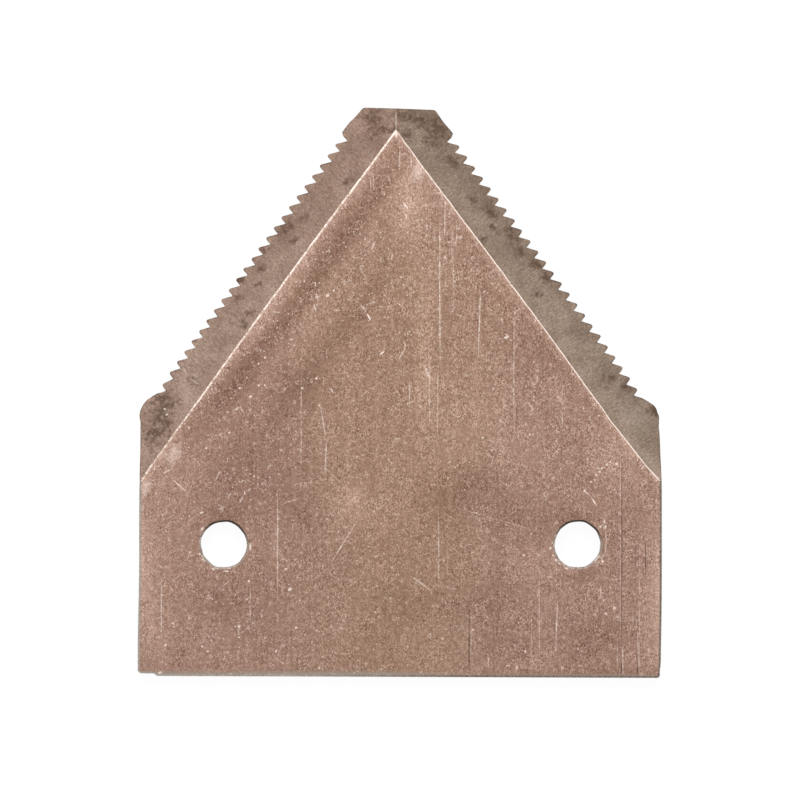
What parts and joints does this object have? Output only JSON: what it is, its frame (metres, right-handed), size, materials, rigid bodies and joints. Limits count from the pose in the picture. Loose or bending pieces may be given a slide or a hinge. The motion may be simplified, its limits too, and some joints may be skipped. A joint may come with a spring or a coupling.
{
  "type": "mower sickle section",
  "caption": "Flat steel mower knife section with a square shank, two bolt holes and a blunt tapering point whose bevelled edges are serrated from the underside.",
  "frame": {"origin": "midway between the two bolt holes, on the flat underside", "axes": "+Z out of the bevelled top face, +Y towards the point, +X to the right seen from above with the point away"},
  "size_m": [0.075, 0.0816, 0.003],
  "materials": {
    "blade_steel": "heat-tinted spring steel, ground at the bevels"
  },
  "bodies": {
    "root": {"knife_section": "blade_steel"}
  },
  "joints": []
}
